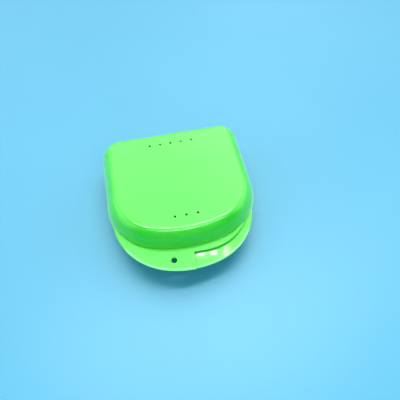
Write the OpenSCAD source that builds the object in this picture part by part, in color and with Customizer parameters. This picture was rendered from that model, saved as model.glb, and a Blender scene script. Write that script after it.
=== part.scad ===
// Orthodontic retainer case: two D-shaped shells, hinged at the back, that open by offset thumb tabs.
// The origin is on the resting surface under the middle of the case. +X is right, +Y is the hinge side.

/* [Case] */
// Outside width of the shells where they meet
case_w = 81; // [75:0.5:90]
// Outside depth of the shells where they meet, front wall to back wall
case_d = 73.6; // [66:0.2:82]
// Height of the base, from the resting surface to where the shells meet
base_h = 15; // [13:0.5:18]
// Height of the lid, from where the shells meet to its top
lid_h = 13; // [12:0.5:18]
// Wall thickness of both shells
wall_t = 1.6; // [1.3:0.1:2]
// Inward lean of the walls where they meet, in degrees
draft_deg = 3; // [1:0.5:5]
// Radius of the bulge that carries on each wall towards the lid's top or the base's bottom
bulge_r = 15; // [13:0.25:17]
// Lean of the wall where its bulge gives way to the rounded edge, in degrees
bulge_deg = 45; // [38:1:48]
// Rounding of the outer edge of the lid's top and the base's bottom
edge_r = 3.2; // [2.6:0.1:3.8]
// Plan radius of the two back corners
corner_r = 11; // [9:0.5:14]
// Distance from the centre of the bowed front wall's curve to that of each front shoulder
front_spread = 40; // [34:1:50]

/* [Meeting rim] */
// Height left between the closed shells
seat_gap = 0.1; // [0.05:0.05:0.2]
// Width of the ledge that stands out round the base
rim_w = 0.4; // [0.3:0.1:0.8]
// Thickness of the ledge round the base
rim_t = 1.6; // [1.2:0.1:2]
// Height of the base's inner lip above the meeting plane
lip_h = 2.4; // [2:0.1:3]
// Thickness of the inner lip
lip_t = 1; // [0.8:0.1:1.4]
// Clearance between the inner lip and the lid's wall
lip_gap = 0.3; // [0.25:0.05:0.4]
// Depth of the ledge that carries the inner lip, below the meeting plane
lip_root = 1.4; // [1:0.1:2]
// Lead-in chamfer on the lip's outer top edge
lip_chamfer = 0.4; // [0.2:0.1:0.5]

/* [Snap] */
// Length of the snap bead along the front of the lip
bead_len = 22; // [12:1:28]
// Radius of the snap bead's section
bead_r = 0.6; // [0.5:0.05:0.7]
// How far the bead stands out of the lip
bead_proud = 0.45; // [0.4:0.05:0.5]
// Height of the bead's middle above the meeting plane
bead_z = 1.2; // [1.1:0.1:1.3]
// Clearance between the bead and its groove in the lid
bead_gap = 0.12; // [0.1:0.02:0.2]

/* [Thumb tabs] */
// Reach of the thumb tabs in front of the front wall
tab_reach = 12.4; // [11:0.1:16]
// Thickness of the thumb tabs
tab_t = 1.6; // [1.4:0.1:2]
// Distance from the centre of the tabs' front curve to that of their side curves
tab_spread = 16; // [10:0.5:20]
// How far the tabs' sides stay inside the width of the case
tab_side_inset = 1.6; // [1:0.1:2.4]
// How far the base's tab stays behind the outline of the lid's
base_tab_inset = 1; // [0.4:0.1:1.4]
// Rounding of the tabs' outer edges
tab_edge_r = 0.65; // [0.4:0.05:0.65]
// Distance of the step between the two tabs from the middle, to the right
split_x = 0.6; // [-2:0.1:2]
// Reach of the narrow strip that carries on the lid's tab to the right
lid_strip_reach = 3.2; // [2.8:0.1:5]
// Plan radius of the strips' sides
strip_side_r = 28; // [26:0.25:30]
// How far the strips' sides stay inside the width of the case
strip_side_inset = 4.4; // [3.6:0.1:5.2]
// Radius of the hollow blend between the lid's wall and its tab
foot_r = 0.5; // [0.3:0.05:0.8]
// Height of the underside of the lid's tab above the lid's rim
tab_lift = 0.2; // [0.1:0.05:0.4]

/* [Lanyard hole] */
// Diameter of the lanyard hole in the lid's tab
lanyard_d = 3; // [2.6:0.1:3.6]
// Distance of the lanyard hole from the middle, to the left
lanyard_x = 10.3; // [8:0.1:12]
// Distance of the lanyard hole behind the tabs' front edge
lanyard_inset = 6.8; // [6:0.1:7.2]
// Chamfer round the lanyard hole, top and bottom
lanyard_chamfer = 0.25; // [0.1:0.05:0.4]
// Clearance between the lanyard hole and the base's strip below it
cord_gap = 0.8; // [0.5:0.1:1.2]

/* [Vents] */
// Diameter of the air vents
vent_d = 1.3; // [1:0.1:2]
// Spacing of the vents along a row
vent_pitch = 6; // [5:0.25:7]
// Number of vents in the front row
front_vents = 3; // [1:1:5]
// Number of vents in the back row
back_vents = 5; // [1:1:7]
// Distance of the front row behind the front wall
front_vent_inset = 13; // [10:0.1:15]
// Distance of the back row in front of the back wall
back_vent_inset = 12.2; // [10:0.1:15]

/* [Hinge] */
// Outside diameter of the hinge knuckles
knuckle_d = 5; // [4.4:0.1:6]
// Diameter of the hinge pins
pin_d = 2; // [1.6:0.1:2.4]
// Chamfer on the ends of the hinge pins
pin_chamfer = 0.25; // [0.1:0.05:0.4]
// Width of each knuckle on the lid
lid_knuckle_w = 8; // [6:0.5:10]
// Width of each ear on the base
ear_w = 4; // [3:0.25:5]
// Clearance between the lid's knuckle and the ears beside it
ear_gap = 0.3; // [0.2:0.05:0.5]
// Clearance between the knuckles and the walls behind which they turn
barrel_gap = 0.4; // [0.3:0.05:0.8]
// Radial clearance of the pins in the lid's knuckles
pin_run = 0.06; // [0.03:0.01:0.1]
// Radial clearance of the pins in the ears that hold them
pin_hold = 0.01; // [0:0.005:0.02]
// Height of the web that carries each knuckle on its wall
web_h = 6.5; // [5:0.25:7]
// Distance from the outer ears to where the back corners begin
ear_margin = 0.7; // [0.2:0.1:2]

/* [Hidden] */
$fn = 96;
lime = [0.43, 0.93, 0.38];
steel = [0.72, 0.73, 0.75];
// How far a cutting shape runs past the face that it cuts
overrun = 0.5;
// How deep a rounding is sunk into the faces that it joins, so that it crosses them cleanly
sink = 0.01;
bulge_sink = 0.002;
foot_sink = 0.06;
web_sink = 0.03;
// How far past each end a trimmed arc is swept, in degrees
trim_deg = 2;
// How far the bulge carries on inside the edge rounding, in degrees
overlap_deg = 20;
// Straight runs for each arc of the middle plate's outline
core_steps = 6;
// Depth of the notch behind each of the lid's knuckles, into the base's wall
relief_depth = 0.3;
// From a bowed front's centre to its right side's centre: a 7-24-25 triangle keeps both on round numbers
bow_dir = [0.28, -0.96];
bow_deg = atan2(bow_dir[0], -bow_dir[1]);
half_w = case_w / 2;
bite = wall_t / 2;
knuckle_r = knuckle_d / 2;
hinge_off = knuckle_r + barrel_gap;
station_w = lid_knuckle_w + 2 * ear_gap + 2 * ear_w;
hinge_x = half_w - corner_r - ear_margin - station_w / 2;
part_d = tab_reach + case_d + hinge_off + knuckle_r;
front_y = tab_reach - part_d / 2;
back_y = front_y + case_d;
hinge_y = back_y + hinge_off;
lid_z = base_h + seat_gap;
tall = base_h + lid_h;
lip_u = wall_t + lip_gap;
lanyard_y = front_y - tab_reach + lanyard_inset;
base_strip_reach = tab_reach - lanyard_inset - lanyard_d / 2 - cord_gap;
core_x = half_w - corner_r;
core_back = back_y - corner_r;
// Where the middle plate starts, and how far in the swept edge reaches, behind the outside of the wall
core_inset = ceil(max(edge_inset(lid_h), edge_inset(base_h)));
band = core_inset + 1;
// Bowed fronts: half width, front edge, and spread between the centres of the front and the sides
case_bow = [half_w, front_y, front_spread];
lid_tab_bow = tab_bow(0);
base_tab_bow = tab_bow(base_tab_inset);
case_front = front_centre(case_bow);
case_side = side_centre(case_bow);

function tab_bow(inset) = [half_w - tab_side_inset - inset, front_y - tab_reach + inset, tab_spread];
function side_r(bow) = bow[0] - bow[2] * bow_dir[0];
function front_r(bow) = side_r(bow) + bow[2];
function front_centre(bow) = [0, bow[1] + front_r(bow)];
function side_centre(bow) = front_centre(bow) + bow[2] * bow_dir;
function polar(r, deg) = r * [cos(deg), sin(deg)];
function mirrored(p) = [-p[0], p[1]];
// The middles of the bulge and of the edge rounding in the section of a shell of height h
function bulge_z(h) = h - edge_r + sink - (bulge_r - edge_r) * sin(bulge_deg);
function bulge_centre(h) = [(sink - bulge_r - bulge_z(h) * sin(draft_deg)) / cos(draft_deg), bulge_z(h)];
function edge_centre(h) = bulge_centre(h) + polar(bulge_r - edge_r + bulge_sink, bulge_deg);
// How far behind the outside the flat of a shell of height h starts
function edge_inset(h) = -edge_centre(h)[0];
// How far the bulge of a shell of height h has leaned in at a height z
function bulge_lean(h, z) = -bulge_centre(h)[0] - sqrt(bulge_r ^ 2 - (z - bulge_z(h)) ^ 2);
// Points along an arc in plan, ends included
function arc_points(centre, r, from_deg, turn_deg) =
    [for (i = [0 : core_steps]) centre + polar(r, from_deg + turn_deg * i / core_steps)];
// The case's outline, set in from the outside, in short straight runs
function core_outline(inset) = concat(
    arc_points(case_front, front_r(case_bow) - inset, 270 - bow_deg, 2 * bow_deg),
    arc_points(case_side, side_r(case_bow) - inset, 270 + bow_deg, 90 - bow_deg),
    arc_points([core_x, core_back], corner_r - inset, 0, 90),
    arc_points([-core_x, core_back], corner_r - inset, 90, 90),
    arc_points(mirrored(case_side), side_r(case_bow) - inset, 180, 90 - bow_deg)
);

// Section paths: a section's x points out of the case and its y points up

// Turns a section about a centre in plan, kept to a depth behind its outline
module along_arc(centre, r, from_deg, turn_deg, depth) {
    translate(centre)
        rotate_extrude(angle = turn_deg, start = from_deg)
            intersection() {
                translate([r, 0])
                    children();
                translate([r - depth, -tall])
                    square([depth + tall, 2 * tall]);
            }
}

// Runs a section along a straight wall that faces the given way in plan
module along_line(from, facing_deg, length, depth) {
    translate(from)
        rotate([90, 0, facing_deg])
            linear_extrude(length)
                intersection() {
                    children();
                    translate([-depth, -tall])
                        square([depth + tall, 2 * tall]);
                }
}

// Runs a section along a bowed front and its two rounded sides, which carry on a little inside the front
module along_bow(bow, depth) {
    centre = front_centre(bow);
    reach = 2 * front_r(bow);
    side = side_centre(bow);
    front_deg = floor(bow_deg) + trim_deg;
    side_deg = 90 - floor(bow_deg) + trim_deg;
    intersection() {
        along_arc(centre, front_r(bow), 270 - front_deg, 2 * front_deg, depth)
            children();
        translate([0, 0, -tall])
            linear_extrude(2 * tall)
                polygon([centre, centre + reach * mirrored(bow_dir), centre + reach * bow_dir]);
    }
    along_arc(side, side_r(bow), 360 - side_deg, side_deg, depth)
        children();
    along_arc(mirrored(side), side_r(bow), 180, side_deg, depth)
        children();
}

// Runs a section along the straight front and rounded sides of a tab's strip
module along_strip(reach, depth) {
    side = [half_w - strip_side_inset - strip_side_r, front_y - reach + strip_side_r];
    along_line([side[0], front_y - reach], -90, 2 * side[0], depth)
        children();
    along_arc(side, strip_side_r, 270, 90, depth)
        children();
    along_arc(mirrored(side), strip_side_r, 180, 90, depth)
        children();
}

// Runs a section right round the case
module around_case() {
    side_l = core_back - case_side[1];
    along_bow(case_bow, band)
        children();
    along_line([half_w, core_back], 0, side_l, band)
        children();
    along_line([-half_w, case_side[1]], 180, side_l, band)
        children();
    along_arc([core_x, core_back], corner_r, 0, 90, band)
        children();
    along_arc([-core_x, core_back], corner_r, 90, 90, band)
        children();
    along_line([-core_x, back_y], 90, 2 * core_x, band)
        children();
}

// As around_case, with the middle filled between two heights
module filled_case(z_low, z_high) {
    around_case()
        children();
    translate([0, 0, z_low])
        linear_extrude(z_high - z_low)
            polygon(core_outline(core_inset));
}

// Sections

// What lies outside a circle, between two directions from its centre
module outside_arc(centre, r, from_deg, to_deg) {
    far = 2 * bulge_r;
    translate(centre)
        difference() {
            polygon([[0, 0], polar(far, from_deg), polar(far, (from_deg + to_deg) / 2), polar(far, to_deg)]);
            circle(r);
        }
}

// A leaning, bulged wall with a rounded upper edge, set in from the outside, from z_low to its top
module wall_section(h, inset, z_low) {
    low_x = -inset / cos(draft_deg) - z_low * tan(draft_deg);
    top_x = -inset / cos(draft_deg) - (h - inset) * tan(draft_deg);
    difference() {
        polygon([[low_x, z_low], [top_x, h - inset], [-half_w, h - inset], [-half_w, z_low]]);
        outside_arc(bulge_centre(h), bulge_r - inset, draft_deg, bulge_deg + overlap_deg);
        outside_arc(edge_centre(h), edge_r - inset, bulge_deg, 90);
    }
}

// The ledge round the base
module rim_section() {
    translate([-bite, -rim_t])
        square([bite + rim_w, rim_t]);
}

// The base's inner lip and the sloped ledge that carries it
module lip_section() {
    polygon([
        [-bite, 0],
        [-lip_u, 0],
        [-lip_u, lip_h - lip_chamfer],
        [-lip_u - lip_chamfer, lip_h],
        [-lip_u - lip_t, lip_h],
        [-lip_u - lip_t, -lip_root],
        [-bite, -lip_root - lip_u - lip_t + bite]
    ]);
}

// The snap bead, or with a clearance the groove that it clicks into
module bead_section(clearance) {
    translate([bead_proud - bead_r - lip_u, bead_z])
        circle(bead_r + clearance);
}

// A tab's plate, with its outer edges rounded
module tab_section() {
    translate([-half_w, 0])
        square([half_w - tab_edge_r, tab_t]);
    translate([-tab_edge_r, tab_edge_r])
        square([tab_edge_r, tab_t - 2 * tab_edge_r]);
    for (up = [0, 1])
        translate([-tab_edge_r, up == 1 ? tab_t - tab_edge_r : tab_edge_r])
            mirror([0, 1 - up])
                intersection() {
                    circle(tab_edge_r);
                    square(2 * tab_edge_r);
                }
}

// The hollow blend at the foot of the lid's wall
module foot_section() {
    centre_z = tab_lift + tab_t + foot_r - foot_sink;
    centre_x = foot_r / cos(draft_deg) - centre_z * tan(draft_deg) - foot_sink;
    difference() {
        translate([-bite, tab_lift + tab_t / 2])
            square([bite + centre_x, centre_z - tab_lift - tab_t / 2]);
        translate([centre_x, centre_z])
            circle(foot_r);
    }
}

// A knuckle's barrel, with a web to its wall: up is 1 on the lid and -1 on the base, whose height is h
module knuckle_section(up, wall_z, h) {
    root = [-hinge_off - bite - bulge_lean(h, web_h), web_h];
    touch_r = knuckle_r - web_sink;
    touch_deg = atan2(root[1], root[0]) - acos(touch_r / norm(root));
    mirror([0, up == 1 ? 0 : 1]) {
        circle(knuckle_r);
        polygon([[0, wall_z], polar(touch_r, touch_deg), root, [-hinge_off - bite, wall_z]]);
    }
}

// Shared features

// Keeps what lies on one side of the step between the tabs: 1 is right and -1 is left
module one_side(side) {
    intersection() {
        children();
        translate([side == 1 ? split_x : split_x - case_w, front_y - case_d, -tall])
            cube([case_w, 2 * case_d, 2 * tall]);
    }
}

// A shell's tab on the given side, and its strip on the other
module tab_outline(side, bow, strip_reach) {
    one_side(side)
        along_bow(bow, tab_reach + wall_t)
            children();
    one_side(-side)
        along_strip(strip_reach, strip_reach + strip_side_inset + wall_t)
            children();
}

// A tab and strip that end halfway into the case's wall
module tab_plate(side, bow, strip_reach) {
    difference() {
        tab_outline(side, bow, strip_reach)
            tab_section();
        translate([0, 0, -overrun])
            filled_case(0, tab_t + 2 * overrun)
                translate([-half_w, 0])
                    square([half_w - bite, tab_t + 2 * overrun]);
    }
}

// A hollow shell of height h, open at z = 0
module shell(h) {
    difference() {
        filled_case(0, h)
            wall_section(h, 0, 0);
        filled_case(-overrun, h - wall_t)
            wall_section(h, wall_t, -overrun);
    }
}

// A row of evenly spaced vents
module vent_row(count, y, z_low, length) {
    for (i = [0 : count - 1])
        translate([(i - (count - 1) / 2) * vent_pitch, y, z_low])
            cylinder(d = vent_d, h = length);
}

// Both rows of vents, through a plate whose lower face is at z_low
module vents(z_low) {
    vent_row(front_vents, front_y + front_vent_inset, z_low - overrun, wall_t + 2 * overrun);
    vent_row(back_vents, back_y - back_vent_inset, z_low - overrun, wall_t + 2 * overrun);
}

// Something on the hinge line, starting at x and running to the right
module on_hinge(x, z) {
    translate([x, hinge_y, z])
        rotate([90, 0, 90])
            children();
}

// A knuckle of the given width with its middle at x
module knuckle(x, z, width, up, wall_z, h) {
    on_hinge(x - width / 2, z)
        linear_extrude(width)
            knuckle_section(up, wall_z, h);
}

// A bore on the hinge line, through a hinge station with its middle at x
module hinge_bore(x, z, clearance) {
    on_hinge(x - station_w / 2 - overrun, z)
        cylinder(d = pin_d + 2 * clearance, h = station_w + 2 * overrun);
}

// A length of the front wall's curve, for the bead and its groove
module along_front(length) {
    r = front_r(case_bow);
    half_deg = length / 2 / r * 180 / PI;
    along_arc(case_front, r, 270 - half_deg, 2 * half_deg, lip_u + lip_t)
        children();
}

// The lanyard hole, chamfered top and bottom
module lanyard_hole() {
    wide_d = lanyard_d + 2 * lanyard_chamfer;
    translate([-lanyard_x, lanyard_y, tab_lift]) {
        translate([0, 0, -overrun])
            cylinder(d = lanyard_d, h = tab_t + 2 * overrun);
        cylinder(d1 = wide_d, d2 = lanyard_d, h = lanyard_chamfer);
        translate([0, 0, tab_t - lanyard_chamfer])
            cylinder(d1 = lanyard_d, d2 = wide_d, h = lanyard_chamfer);
    }
}

// A hinge pin with chamfered ends, with its middle at x
module hinge_pin(x) {
    pin_r = pin_d / 2;
    on_hinge(x - station_w / 2, base_h)
        rotate_extrude()
            polygon([
                [0, 0],
                [pin_r - pin_chamfer, 0],
                [pin_r, pin_chamfer],
                [pin_r, station_w - pin_chamfer],
                [pin_r - pin_chamfer, station_w],
                [0, station_w]
            ]);
}

// Sub-parts

// The base with its tab to the right, drawn with the meeting plane at z = 0 and then lifted
module base_shell() {
    relief_w = lid_knuckle_w + 2 * ear_gap;
    ear_x = (relief_w + ear_w) / 2;
    color(lime)
        translate([0, 0, base_h])
            difference() {
                union() {
                    mirror([0, 0, 1])
                        shell(base_h);
                    around_case()
                        rim_section();
                    around_case()
                        lip_section();
                    along_front(bead_len)
                        bead_section(0);
                    translate([0, 0, -tab_t])
                        tab_plate(1, base_tab_bow, base_strip_reach);
                    for (side = [-1, 1], end = [-1, 1])
                        knuckle(side * hinge_x + end * ear_x, 0, ear_w, -1, 0, base_h);
                }
                vents(-base_h);
                for (side = [-1, 1]) {
                    hinge_bore(side * hinge_x, 0, pin_hold);
                    translate([side * hinge_x - relief_w / 2, back_y - relief_depth, -rim_t - overrun])
                        cube([relief_w, relief_depth + rim_w + overrun, rim_t + 2 * overrun]);
                }
            }
}

// The lid with its tab to the left, drawn with its own rim at z = 0 and then lifted
module lid_shell() {
    color(lime)
        translate([0, 0, lid_z])
            difference() {
                union() {
                    shell(lid_h);
                    translate([0, 0, tab_lift])
                        tab_plate(-1, lid_tab_bow, lid_strip_reach);
                    intersection() {
                        along_bow(case_bow, band)
                            foot_section();
                        tab_outline(-1, lid_tab_bow, lid_strip_reach)
                            translate([-half_w, 0])
                                square([half_w - tab_edge_r, lid_h]);
                    }
                    for (side = [-1, 1])
                        knuckle(side * hinge_x, -seat_gap, lid_knuckle_w, 1, seat_gap, lid_h);
                }
                translate([0, 0, -seat_gap])
                    along_front(bead_len + 2 * lip_gap)
                        bead_section(bead_gap);
                vents(lid_h - wall_t);
                lanyard_hole();
                for (side = [-1, 1])
                    hinge_bore(side * hinge_x, -seat_gap, pin_run);
            }
}

// The pin of the left hinge station
module hinge_pin_left() {
    color(steel)
        hinge_pin(-hinge_x);
}

// The pin of the right hinge station
module hinge_pin_right() {
    color(steel)
        hinge_pin(hinge_x);
}

base_shell();
lid_shell();
hinge_pin_left();
hinge_pin_right();
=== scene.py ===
"""The retainer case as the photograph shows it: closed, on a pale blue floor under soft light."""

import math

import bpy
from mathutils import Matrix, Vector


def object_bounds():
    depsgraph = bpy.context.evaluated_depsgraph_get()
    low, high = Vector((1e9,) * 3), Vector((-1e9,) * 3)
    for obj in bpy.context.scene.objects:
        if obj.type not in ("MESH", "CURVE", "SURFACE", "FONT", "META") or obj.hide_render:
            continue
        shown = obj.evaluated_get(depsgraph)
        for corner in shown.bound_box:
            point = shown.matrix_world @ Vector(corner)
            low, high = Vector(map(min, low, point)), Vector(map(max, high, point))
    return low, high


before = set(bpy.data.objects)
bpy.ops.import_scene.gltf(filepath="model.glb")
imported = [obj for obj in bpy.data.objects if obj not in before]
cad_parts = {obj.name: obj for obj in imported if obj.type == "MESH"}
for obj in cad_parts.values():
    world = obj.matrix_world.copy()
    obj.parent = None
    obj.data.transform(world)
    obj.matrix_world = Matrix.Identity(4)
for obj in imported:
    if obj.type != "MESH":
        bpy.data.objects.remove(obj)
cad_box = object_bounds()

MM = 0.001

# Camera, fitted to the photograph's two rows of vents
PHOTO_PX = 400
FOCAL_PX = 405
CAMERA_AT = Vector((-14.73, -122.70, 208.13)) * MM
CAMERA_LOOKS_AT = Vector((8.56, -13.21, 28.10)) * MM
SENSOR_MM = 36
CLIP_START = 0.01

# Colours, linear
LIME = (0.044, 0.575, 0.034)
LIME_DEEP = (0.038, 0.545, 0.030)
# A painted highlight on the tabs' outer rims, paler than the plastic
LIME_PAINTED_HIGHLIGHT = (0.24, 0.80, 0.30)
# A painted shade, darker than the plastic
LIME_PAINTED_SHADE = (0.012, 0.33, 0.015)
STEEL = (0.62, 0.63, 0.65)
STEEL_DARK = (0.42, 0.43, 0.45)
FLOOR_BLUE = (0.058, 0.298, 0.44)
FLOOR_PALE = (0.066, 0.312, 0.46)
ROOM_BLUE = (0.45, 0.95, 1.0)
BACKDROP = (0.42, 0.60, 0.68)
WHITE = (1.0, 1.0, 1.0)
WARM = (1.0, 0.86, 0.80)

# Noise textures: features to the metre and levels of detail. Most of their values lie between
# the two that follow.
PLASTIC_CLOUD = 45, 2
PLASTIC_GRAIN = 900, 4
STEEL_STREAK = 6000, 3
FLOOR_CLOUD = 6, 3
FLOOR_GRAIN = 1200, 3
NOISE_LOW = 0.3
NOISE_HIGH = 0.7
STREAK_STRETCH = (0.05, 1, 1)

# Roughness, from the lowest to the highest
LID_ROUGHNESS = 0.38, 0.48
BASE_ROUGHNESS = 0.3, 0.4
STEEL_ROUGHNESS = 0.22, 0.4
FLOOR_ROUGHNESS = 0.4, 0.5

# Bump: depth and strength
PLASTIC_BUMP = 0.02 * MM, 0.15
STEEL_BUMP = 0.01 * MM, 0.2
FLOOR_BUMP = 0.02 * MM, 0.1

# The plastic's body, which scatters mostly green light, and its smooth skin
PLASTIC_IOR = 1.49
SCATTER_REACH = (0.12, 1.0, 0.15)
SCATTER_SCALE = 2.5 * MM
SKIN_IOR = 1.65
LID_SKIN_ROUGHNESS = 0.06
BASE_SKIN_ROUGHNESS = 0.05
HAZE = 0.25
HAZE_ROUGHNESS = 0.5

# Outlines of the tabs in plan, in mm: centre and radius of the side curve, and of the front curve
LID_TAB = ((-4.48, -10.64), 34.42), ((0, 4.72), 50.42)
BASE_TAB = ((4.48, -10.64), 33.42), ((0, 4.72), 49.42)
# The pale rim, a painted highlight along the tabs' outer edges, in mm. It passes from one curve to
# the other within a share of where they meet, and fades out where the tabs start from the sides.
TAB_CURVES_MEET_X = 14.0
TAB_CURVES_BLEND = 0.1
TAB_STARTS_Y = -26.0
TAB_FADE = 4.0
RIM_WIDTH = 1.3
RIM_FULL_WIDTH = RIM_WIDTH / 3
# The dark line at the end of the lid's tab, in mm: a painted shade along the end edge, where the
# lid's tab steps down to the base's. It stays in front of the strip, and is cut off just past the
# end, so that the strip doesn't take it.
TAB_END_X = 0.6
STRIP_FRONT_Y = -36.5
STRIP_FADE = 1.0
LINE_WIDTH = 0.9
LINE_CUT_STARTS = LINE_WIDTH / 4
LINE_CUT_ENDS = LINE_WIDTH / 2

# Soft panels round the part: for each colour, where each panel lies and its radiance, which falls
# to nothing between two cosines. The two at the front corners are lit by the blue room.
PANELS = (
    (WHITE, (
        ((0.08, 0.47, 0.88), 1.55),
        ((-0.6, 0.6, 0.53), 0.85),
        ((0.6, 0.6, 0.53), 0.75),
        ((0.05, 0.93, 0.36), 0.5),
        ((-0.92, 0.0, 0.38), 1.15),
        ((0.92, 0.0, 0.38), 1.25),
        ((0.0, -0.52, 0.85), 0.85),
        ((0.0, -0.93, 0.37), 0.38),
    )),
    (ROOM_BLUE, (
        ((-0.6, -0.6, 0.53), 0.2),
        ((0.6, -0.6, 0.53), 0.1),
    )),
)
PANEL_EDGE = 0.80
PANEL_MIDDLE = 0.96

# Lamps that the base's tab mirrors: name, place, size, radiance and colour
LAMPS = (
    ("lamp_left", (0.087, 0.345, 0.88), (0.024, 0.010), 16, WHITE),
    ("lamp_middle", (0.124, 0.343, 0.88), (0.016, 0.013), 18, WHITE),
    ("lamp_right", (0.160, 0.338, 0.88), (0.018, 0.028), 6.5, WARM),
)
# Rows of small lamps along X, which glint on the lid's edge: name, first place, size and radiance
LAMP_ROWS = (
    ("row_over", (-0.36, 0.12, 0.86), (0.020, 0.030), 52),
    ("row_front", (-0.36, -0.52, 0.68), (0.020, 0.024), 40),
)
ROW_LAMPS = 22
ROW_PITCH = 0.04
LAMPS_LOOK_AT = Vector((0, 0, 0))

FLOOR_SIZE = 3.0
FLOOR_CLEAR = 0.02 * MM
FLOOR_GLOSS = 1.0

# The Mix node's colour sockets, which share their names with its other sockets
MIX_FIRST = 6
MIX_SECOND = 7
MIX_RESULT = 2


def new_material(name):
    """A new node material, with its tree, shader and object coordinates."""
    material = bpy.data.materials.new(name)
    material.use_nodes = True
    tree = material.node_tree
    shader = tree.nodes["Principled BSDF"]
    coords = tree.nodes.new("ShaderNodeTexCoord").outputs["Object"]
    return material, tree, shader, coords


def noise(tree, coords, scale, detail):
    """The value of a noise texture with so many features to the metre."""
    node = tree.nodes.new("ShaderNodeTexNoise")
    node.inputs["Scale"].default_value = scale
    node.inputs["Detail"].default_value = detail
    tree.links.new(coords, node.inputs["Vector"])
    return node.outputs["Fac"]


def colour_between(tree, value, low, high):
    """A colour that runs from low to high over a noise's values."""
    node = tree.nodes.new("ShaderNodeValToRGB")
    first, last = node.color_ramp.elements
    first.position = NOISE_LOW
    first.color = (*low, 1)
    last.position = NOISE_HIGH
    last.color = (*high, 1)
    tree.links.new(value, node.inputs["Fac"])
    return node.outputs["Color"]


def map_range(tree, value, start, end, easing):
    """A number that runs between two pairs of value and result."""
    node = tree.nodes.new("ShaderNodeMapRange")
    node.interpolation_type = easing
    node.inputs["From Min"].default_value, node.inputs["To Min"].default_value = start
    node.inputs["From Max"].default_value, node.inputs["To Max"].default_value = end
    tree.links.new(value, node.inputs["Value"])
    return node.outputs["Result"]


def number_between(tree, value, low, high):
    """A number that runs from low to high over a noise's values."""
    return map_range(tree, value, (NOISE_LOW, low), (NOISE_HIGH, high), "LINEAR")


def smooth_step(tree, value, start, end):
    """A number that eases between two pairs of value and result."""
    return map_range(tree, value, start, end, "SMOOTHSTEP")


def step_mm(tree, place, start, end):
    """A number that eases between two pairs of place, in mm, and result."""
    return smooth_step(tree, place, (start[0] * MM, start[1]), (end[0] * MM, end[1]))


def combine(tree, operation, a, b):
    """The sum or product of two numbers."""
    node = tree.nodes.new("ShaderNodeMath")
    node.operation = operation
    tree.links.new(a, node.inputs[0])
    tree.links.new(b, node.inputs[1])
    return node.outputs["Value"]


def vector_math(tree, operation, vector, fixed):
    """The outputs of an operation on a vector and a fixed one."""
    node = tree.nodes.new("ShaderNodeVectorMath")
    node.operation = operation
    node.inputs[1].default_value = fixed
    tree.links.new(vector, node.inputs[0])
    return node.outputs


def x_and_y(tree, coords):
    """The X and Y of a place."""
    node = tree.nodes.new("ShaderNodeSeparateXYZ")
    tree.links.new(coords, node.inputs["Vector"])
    return node.outputs["X"], node.outputs["Y"]


def near_arc(tree, plan, centre, radius):
    """1 along the inside of an arc in plan, and 0 from a rim's width inwards."""
    middle = (centre[0] * MM, centre[1] * MM, 0)
    distance = vector_math(tree, "DISTANCE", plan, middle)["Value"]
    return step_mm(tree, distance, (radius - RIM_WIDTH, 0), (radius - RIM_FULL_WIDTH, 1))


def painted_rim_highlight(tree, coords, side, front):
    """1 on a tab's outer edge, where a front curve runs into a side curve, and 0 elsewhere: where
    the painted highlight lies.
    """
    plan = vector_math(tree, "MULTIPLY", coords, (1, 1, 0))["Vector"]
    x, y = x_and_y(tree, coords)
    meet = math.copysign(TAB_CURVES_MEET_X, side[0][0])
    inner = meet * (1 - TAB_CURVES_BLEND)
    outer = meet * (1 + TAB_CURVES_BLEND)
    on_side = step_mm(tree, x, (inner, 0), (outer, 1))
    on_front = step_mm(tree, x, (inner, 1), (outer, 0))
    on_tab = step_mm(tree, y, (TAB_STARTS_Y - TAB_FADE, 1), (TAB_STARTS_Y, 0))
    side_painted_highlight = combine(tree, "MULTIPLY", on_side, near_arc(tree, plan, *side))
    front_painted_highlight = combine(tree, "MULTIPLY", on_front, near_arc(tree, plan, *front))
    return combine(tree, "MULTIPLY", on_tab, combine(tree, "ADD", side_painted_highlight, front_painted_highlight))


def painted_shade_at_tab_end(tree, coords):
    """1 along the edge where the lid's tab ends beside the base's, and 0 elsewhere: where the
    painted shade lies.
    """
    x, y = x_and_y(tree, coords)
    at_end = step_mm(tree, x, (TAB_END_X - LINE_WIDTH, 0), (TAB_END_X, 1))
    on_tab = step_mm(tree, x, (TAB_END_X + LINE_CUT_STARTS, 1), (TAB_END_X + LINE_CUT_ENDS, 0))
    in_front = step_mm(tree, y, (STRIP_FRONT_Y - STRIP_FADE, 1), (STRIP_FRONT_Y, 0))
    return combine(tree, "MULTIPLY", combine(tree, "MULTIPLY", at_end, on_tab), in_front)


def blend(tree, factor, first, second):
    """A colour between a linked one and a fixed one."""
    node = tree.nodes.new("ShaderNodeMix")
    node.data_type = "RGBA"
    tree.links.new(factor, node.inputs["Factor"])
    tree.links.new(first, node.inputs[MIX_FIRST])
    node.inputs[MIX_SECOND].default_value = (*second, 1)
    return node.outputs[MIX_RESULT]


def bump(tree, shader, height, depth, strength):
    """Raises the shader's surface by a height of up to depth."""
    node = tree.nodes.new("ShaderNodeBump")
    node.inputs["Strength"].default_value = strength
    node.inputs["Distance"].default_value = depth
    tree.links.new(height, node.inputs["Height"])
    tree.links.new(node.outputs["Normal"], shader.inputs["Normal"])


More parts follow.
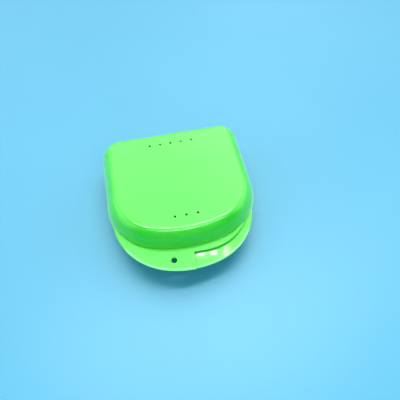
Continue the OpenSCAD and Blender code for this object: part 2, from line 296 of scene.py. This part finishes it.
def lime_plastic(name, roughness, skin_roughness, tab, has_painted_end_shade=False):
    """Moulded polypropylene: cloudy, translucent, satin under a smooth skin with a faint haze, with
    a painted highlight along the tabs' rims and, on the lid, a painted shade at the end of its tab.
    """
    material, tree, shader, coords = new_material(name)
    grain = noise(tree, coords, *PLASTIC_GRAIN)
    colour = colour_between(tree, noise(tree, coords, *PLASTIC_CLOUD), LIME_DEEP, LIME)
    # A painted highlight along the tabs' outer rims
    colour = blend(tree, painted_rim_highlight(tree, coords, *tab), colour, LIME_PAINTED_HIGHLIGHT)
    if has_painted_end_shade:
        # A painted shade along the end of the lid's tab, where it steps down to the base's
        colour = blend(tree, painted_shade_at_tab_end(tree, coords), colour, LIME_PAINTED_SHADE)
    tree.links.new(colour, shader.inputs["Base Color"])
    tree.links.new(number_between(tree, grain, *roughness), shader.inputs["Roughness"])
    shader.inputs["IOR"].default_value = PLASTIC_IOR
    shader.inputs["Subsurface Weight"].default_value = 1.0
    shader.inputs["Subsurface Radius"].default_value = SCATTER_REACH
    shader.inputs["Subsurface Scale"].default_value = SCATTER_SCALE
    shader.inputs["Coat Weight"].default_value = 1.0
    shader.inputs["Coat Roughness"].default_value = skin_roughness
    shader.inputs["Coat IOR"].default_value = SKIN_IOR
    shader.inputs["Sheen Weight"].default_value = HAZE
    shader.inputs["Sheen Roughness"].default_value = HAZE_ROUGHNESS
    bump(tree, shader, grain, *PLASTIC_BUMP)
    return material


def drawn_steel(name):
    """Drawn stainless wire, streaked along X."""
    material, tree, shader, coords = new_material(name)
    stretch = tree.nodes.new("ShaderNodeMapping")
    stretch.inputs["Scale"].default_value = STREAK_STRETCH
    tree.links.new(coords, stretch.inputs["Vector"])
    streaks = noise(tree, stretch.outputs["Vector"], *STEEL_STREAK)
    tree.links.new(colour_between(tree, streaks, STEEL_DARK, STEEL), shader.inputs["Base Color"])
    tree.links.new(number_between(tree, streaks, *STEEL_ROUGHNESS), shader.inputs["Roughness"])
    shader.inputs["Metallic"].default_value = 1.0
    bump(tree, shader, streaks, *STEEL_BUMP)
    return material


def floor_sheet(name):
    """A satin pale blue sheet with a faint grain."""
    material, tree, shader, coords = new_material(name)
    cloud = noise(tree, coords, *FLOOR_CLOUD)
    grain = noise(tree, coords, *FLOOR_GRAIN)
    tree.links.new(colour_between(tree, cloud, FLOOR_BLUE, FLOOR_PALE), shader.inputs["Base Color"])
    tree.links.new(number_between(tree, grain, *FLOOR_ROUGHNESS), shader.inputs["Roughness"])
    shader.inputs["Specular IOR Level"].default_value = FLOOR_GLOSS
    bump(tree, shader, grain, *FLOOR_BUMP)
    return material


def dress(node, material):
    """Gives a CAD node its material."""
    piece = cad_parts[node]
    piece.data.materials.clear()
    piece.data.materials.append(material)


def add_floor():
    """A plain floor under the part, which isn't part of the object."""
    low = cad_box[0]
    bpy.ops.mesh.primitive_plane_add(size=FLOOR_SIZE, location=(0, 0, low[2] - FLOOR_CLEAR))
    floor = bpy.context.object
    floor.name = "floor"
    floor.data.materials.append(floor_sheet("floor_sheet"))


def aimed(place, target):
    """The rotation that makes a light or camera at a place look at a target."""
    return (target - Vector(place)).to_track_quat("-Z", "Y").to_euler()


def add_light(name, at, size, radiance, colour):
    """A rectangular light of the given width and height, aimed at the part."""
    data = bpy.data.lights.new(name, "AREA")
    data.shape = "RECTANGLE"
    data.size, data.size_y = size
    data.energy = math.pi * size[0] * size[1] * radiance
    data.color = colour
    light = bpy.data.objects.new(name, data)
    light.location = at
    light.rotation_euler = aimed(at, LAMPS_LOOK_AT)
    bpy.context.scene.collection.objects.link(light)


def sky(tree, colour):
    """A background of one colour."""
    node = tree.nodes.new("ShaderNodeBackground")
    node.inputs["Color"].default_value = (*colour, 1)
    return node


def soft_panel(tree, direction, towards, radiance):
    """The radiance of a panel, seen in a direction."""
    cosine = vector_math(tree, "DOT_PRODUCT", direction, Vector(towards).normalized())["Value"]
    return smooth_step(tree, cosine, (PANEL_EDGE, 0), (PANEL_MIDDLE, radiance))


def add_panels():
    """The soft panels, as a sky that is dark between them and is seen as a plain pale backdrop."""
    world = bpy.data.worlds.new("panels")
    world.use_nodes = True
    tree = world.node_tree
    tree.nodes.remove(tree.nodes["Background"])
    direction = tree.nodes.new("ShaderNodeTexCoord").outputs["Generated"]
    both = tree.nodes.new("ShaderNodeAddShader")
    for slot, (colour, panels) in zip(both.inputs, PANELS):
        total, *others = [soft_panel(tree, direction, *panel) for panel in panels]
        for other in others:
            total = combine(tree, "ADD", total, other)
        light = sky(tree, colour)
        tree.links.new(total, light.inputs["Strength"])
        tree.links.new(light.outputs["Background"], slot)
    mix = tree.nodes.new("ShaderNodeMixShader")
    is_seen, lit, seen = mix.inputs
    tree.links.new(tree.nodes.new("ShaderNodeLightPath").outputs["Is Camera Ray"], is_seen)
    tree.links.new(both.outputs["Shader"], lit)
    tree.links.new(sky(tree, BACKDROP).outputs["Background"], seen)
    tree.links.new(mix.outputs["Shader"], tree.nodes["World Output"].inputs["Surface"])
    bpy.context.scene.world = world


def add_lamps():
    """The lamps that the base's tab and the lid's edge mirror."""
    for lamp in LAMPS:
        add_light(*lamp)
    for name, (x, y, z), size, radiance in LAMP_ROWS:
        for i in range(ROW_LAMPS):
            add_light(f"{name}_{i}", (x + i * ROW_PITCH, y, z), size, radiance, WHITE)


def add_camera():
    """The photograph's viewpoint."""
    data = bpy.data.cameras.new("camera")
    data.sensor_fit = "HORIZONTAL"
    data.sensor_width = SENSOR_MM
    data.lens = SENSOR_MM * FOCAL_PX / PHOTO_PX
    data.clip_start = CLIP_START
    camera = bpy.data.objects.new("camera", data)
    camera.location = CAMERA_AT
    camera.rotation_euler = aimed(CAMERA_AT, CAMERA_LOOKS_AT)
    bpy.context.scene.collection.objects.link(camera)
    bpy.context.scene.camera = camera


lid_plastic = lime_plastic(
    "lid_plastic", LID_ROUGHNESS, LID_SKIN_ROUGHNESS, LID_TAB, has_painted_end_shade=True
)
base_plastic = lime_plastic("base_plastic", BASE_ROUGHNESS, BASE_SKIN_ROUGHNESS, BASE_TAB)
steel = drawn_steel("drawn_steel")
dress("lid_shell", lid_plastic)
dress("base_shell", base_plastic)
dress("hinge_pin_left", steel)
dress("hinge_pin_right", steel)
add_floor()
add_panels()
add_lamps()
add_camera()
bpy.context.scene.view_settings.view_transform = "Standard"
bpy.context.scene.view_settings.look = "High Contrast"
